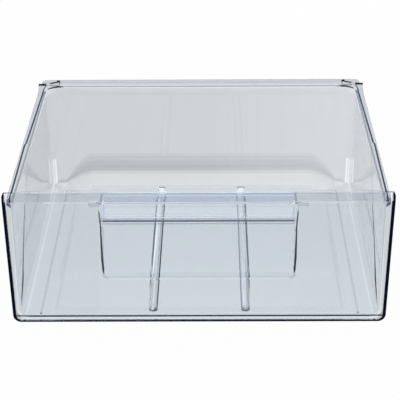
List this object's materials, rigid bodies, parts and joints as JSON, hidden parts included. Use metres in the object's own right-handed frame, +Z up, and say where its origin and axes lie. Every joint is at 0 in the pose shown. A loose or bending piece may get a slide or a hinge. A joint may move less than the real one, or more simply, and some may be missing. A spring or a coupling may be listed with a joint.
{
  "type": "refrigerator drawer",
  "caption": "Clear plastic refrigerator drawer: an open tub with sliding rims and floor runners, a flat front panel and a recessed finger grip.",
  "frame": {"origin": "on the surface that the drawer stands on, at the middle of its width and of its depth", "axes": "+X across the width, +Y from the front panel to the rear, +Z up; the front panel faces -Y"},
  "size_m": [0.4314, 0.386, 0.1595],
  "materials": {
    "clear_plastic": "clear, faintly blue, polished"
  },
  "bodies": {
    "root": {"tub": "clear_plastic", "front_panel": "clear_plastic", "handle_grip": "clear_plastic"}
  },
  "joints": []
}
